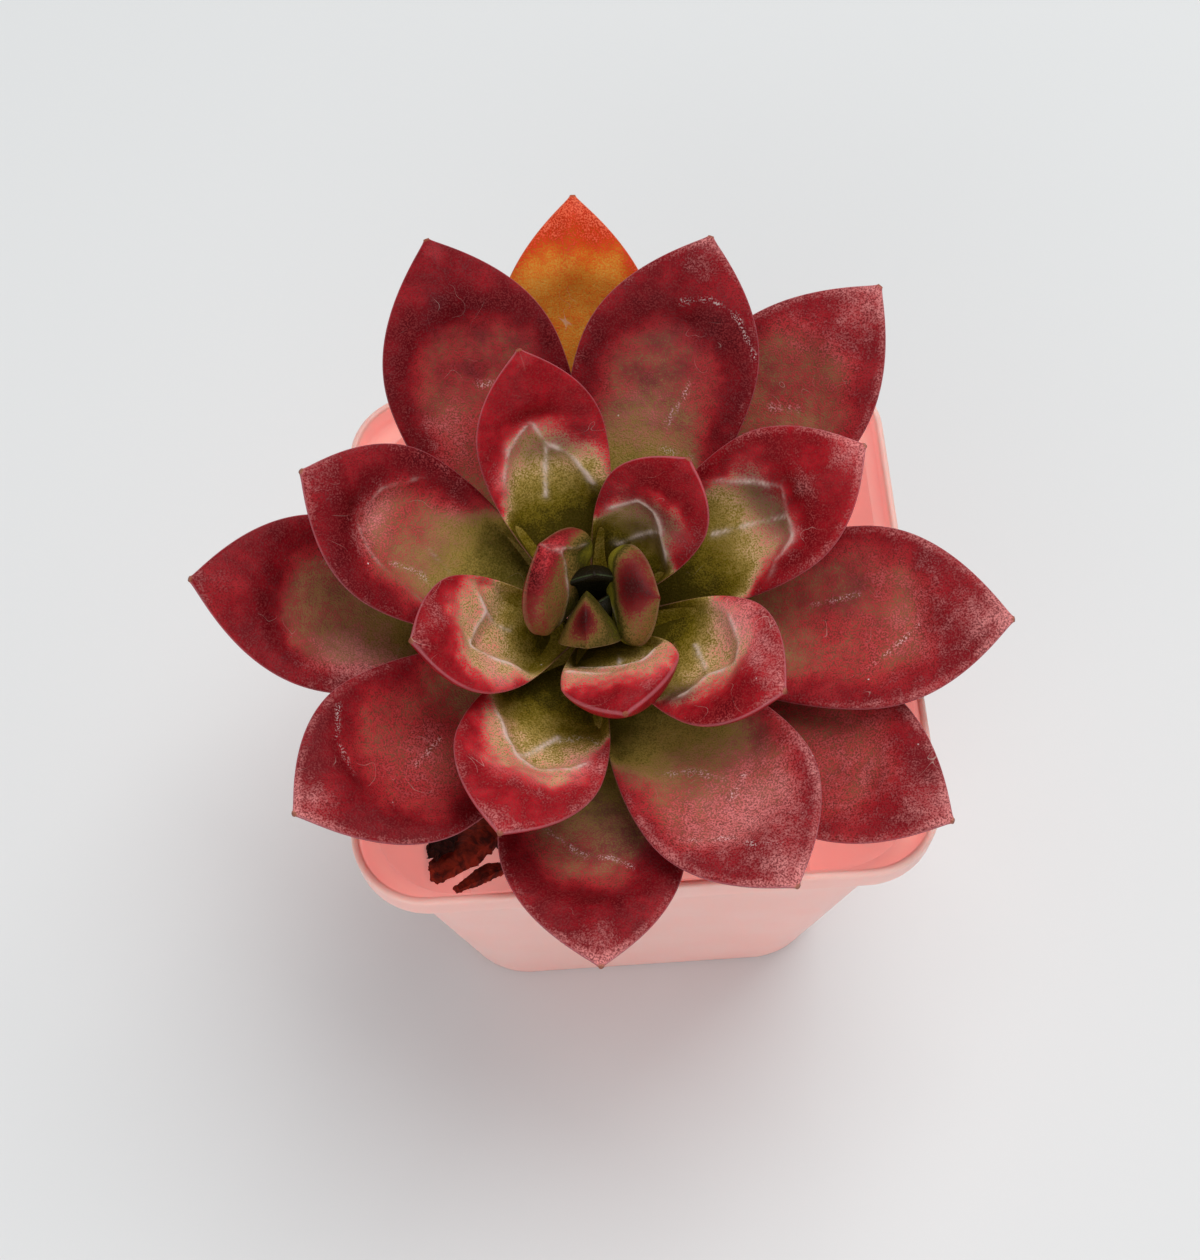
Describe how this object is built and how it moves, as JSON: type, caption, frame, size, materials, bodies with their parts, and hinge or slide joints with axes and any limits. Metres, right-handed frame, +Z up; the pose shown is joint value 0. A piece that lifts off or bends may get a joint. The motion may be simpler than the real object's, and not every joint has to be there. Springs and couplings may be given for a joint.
{
  "type": "potted echeveria",
  "caption": "Echeveria rosette of thick pointed leaves on a leaning stem, in a square tapered plastic nursery pot with a rim band, soil and bark.",
  "frame": {"origin": "centre of the pot's base, on the surface it stands on", "axes": "+Z up along the pot's axis, -Y towards the front face of the pot (the picture's near side), +X to its right; the pot's sides lie along X and Y"},
  "size_m": [0.0946, 0.092, 0.0942],
  "materials": {
    "pot_plastic": "semi-matte thin moulded plastic, pale pink outside, coral inside",
    "soil": "dark, crumbly, rough",
    "bark": "raw, dark red-brown, cracked",
    "stem": "woody, ringed with leaf scars",
    "inner_leaf": "fleshy, olive to tan with a waxy bloom and dark red edges",
    "outer_leaf": "fleshy, fine-grained, crimson to brick red with a pale waxy bloom"
  },
  "bodies": {
    "root": {"pot": "pot_plastic", "root_ball": "soil", "stem": "stem", "bark_chip_1": "bark", "bark_chip_2": "bark", "soil_crumb": "soil", "leaf_01": "inner_leaf", "leaf_02": "inner_leaf", "leaf_03": "inner_leaf", "leaf_04": "inner_leaf", "leaf_05": "inner_leaf", "leaf_06": "inner_leaf", "leaf_07": "inner_leaf", "leaf_08": "inner_leaf", "leaf_09": "inner_leaf", "leaf_10": "inner_leaf", "leaf_11": "inner_leaf", "leaf_12": "inner_leaf", "leaf_13": "outer_leaf", "leaf_14": "outer_leaf", "leaf_15": "outer_leaf", "leaf_16": "outer_leaf", "leaf_17": "outer_leaf", "leaf_18": "outer_leaf", "leaf_19": "outer_leaf", "leaf_20": "outer_leaf", "leaf_21": "outer_leaf", "leaf_22": "outer_leaf", "leaf_23": "outer_leaf"}
  },
  "joints": []
}
